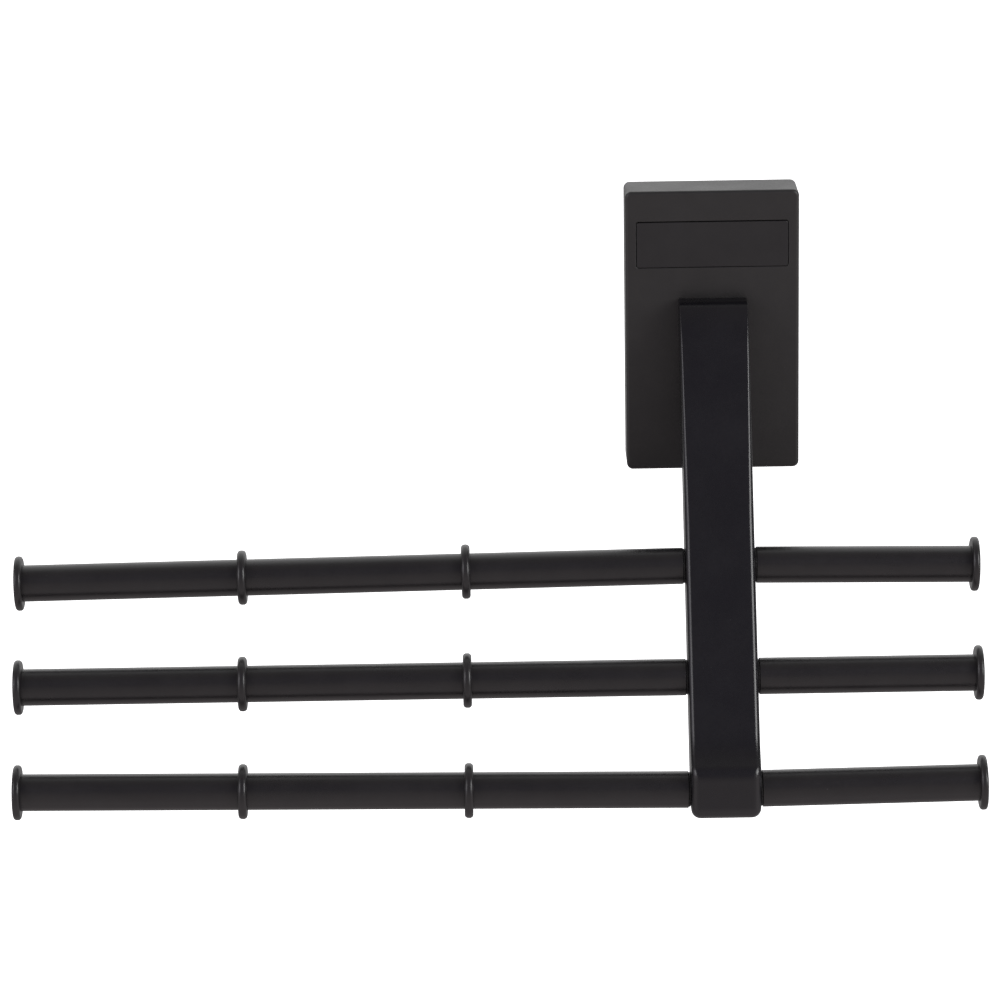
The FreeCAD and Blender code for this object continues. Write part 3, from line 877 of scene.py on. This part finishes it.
def make_surroundings():
    """A studio of soft light with no lamps in it, as bright and tinted as the tables above say."""
    world = bpy.data.worlds.new("studio")
    world.use_nodes = True
    tree = world.node_tree
    back = tree.nodes["Background"]

    def math_node(operation, first, second):
        node = tree.nodes.new("ShaderNodeMath")
        node.operation = operation
        for socket, value in zip(node.inputs, (first, second)):
            if isinstance(value, (int, float)):
                socket.default_value = value
            else:
                tree.links.new(value, socket)
        return node.outputs[0]

    def ramp_of(value, start, end):
        node = tree.nodes.new("ShaderNodeMapRange")
        node.interpolation_type = "SMOOTHSTEP"
        node.inputs["From Min"].default_value = start
        node.inputs["From Max"].default_value = end
        tree.links.new(value, node.inputs["Value"])
        return node.outputs["Result"]

    parts = tree.nodes.new("ShaderNodeSeparateXYZ")
    place = tree.nodes.new("ShaderNodeTexCoord")
    tree.links.new(place.outputs["Generated"], parts.inputs[0])
    turn = math_node("ARCTAN2", parts.outputs["Z"], math_node("MULTIPLY", parts.outputs["Y"], -1.0))
    turn = math_node("MULTIPLY_ADD", turn, 1 / (2 * math.pi))
    turn.node.inputs[2].default_value = 0.5

    def ring_of(colours):
        """Colours round the rack's X axis, divided by the strongest value, and that value."""
        ramp = tree.nodes.new("ShaderNodeValToRGB")
        stops = ramp.color_ramp.elements
        strongest = max(max(colour) for _, colour in colours)
        for degrees, _ in colours[1:-1]:
            stops.new(degrees / 360 + 0.5)
        for stop, (degrees, colour) in zip(stops, colours):
            stop.position = degrees / 360 + 0.5
            stop.color = (*(value / strongest for value in colour), 1.0)
        tree.links.new(turn, ramp.inputs["Fac"])
        return ramp.outputs["Color"], strongest

    level, brightest = ring_of([(degrees, (value,) * 3) for degrees, value in STUDIO])
    tint, deepest = ring_of(TINTS)

    def blend(first, second, share):
        """From the first level to the second one, as the share goes from 0 to 1."""
        change = math_node("MULTIPLY", math_node("SUBTRACT", second, first), share)
        return math_node("ADD", change, first)

    behind = ramp_of(parts.outputs["Y"], -0.3, 0.3)
    above = ramp_of(parts.outputs["Z"], -0.15, 0.15)
    total = math_node("MULTIPLY", level, brightest)
    for side, (low_front, high_front, low_back, high_back) in ((-1, LEFT_WALL), (1, RIGHT_WALL)):
        wall_level = blend(blend(low_front, high_front, above), blend(low_back, high_back, above), behind)
        total = blend(total, wall_level, ramp_of(parts.outputs["X"], side * 0.55, side * 0.85))
    tree.links.new(math_node("MULTIPLY", total, deepest), back.inputs["Strength"])
    tree.links.new(tint, back.inputs["Color"])
    bpy.context.scene.world = world


def make_lights():
    make_surroundings()
    soft_box("left_box", (-1.35, -1.05, 0.65), width=0.7, height=1.0, radiance=3.0)
    soft_box("right_box", (1.30, -1.0, 0.65), width=0.9, height=1.0, radiance=7.2)


CAMERA_PLACE = Vector((-0.085, -1.7286, 0.4037))
# in degrees: down from level, right from square to the wall, and counter-clockwise
CAMERA_PITCH = 15.307
CAMERA_YAW = 0.167
CAMERA_ROLL = -0.856
CAMERA_LENS = 169.8


def make_camera():
    """A camera where the photo's stood, with the photo's lens."""
    pitch, yaw, roll = (math.radians(angle) for angle in (CAMERA_PITCH, CAMERA_YAW, CAMERA_ROLL))
    forward = Vector((math.sin(yaw) * math.cos(pitch), math.cos(yaw) * math.cos(pitch), -math.sin(pitch)))
    level = Vector((math.cos(yaw), -math.sin(yaw), 0.0))
    upright = level.cross(forward)
    right = level * math.cos(roll) + upright * math.sin(roll)
    up = upright * math.cos(roll) - level * math.sin(roll)
    data = bpy.data.cameras.new("camera")
    data.sensor_width = 36.0
    data.lens = CAMERA_LENS
    data.clip_start = 0.01
    camera = bpy.data.objects.new("camera", data)
    turned = Matrix((right, up, -forward)).transposed()
    camera.matrix_world = Matrix.Translation(CAMERA_PLACE) @ turned.to_4x4()
    bpy.context.scene.collection.objects.link(camera)
    bpy.context.scene.camera = camera


make_floor()
make_lights()
make_camera()
bpy.context.scene.view_settings.view_transform = "Standard"
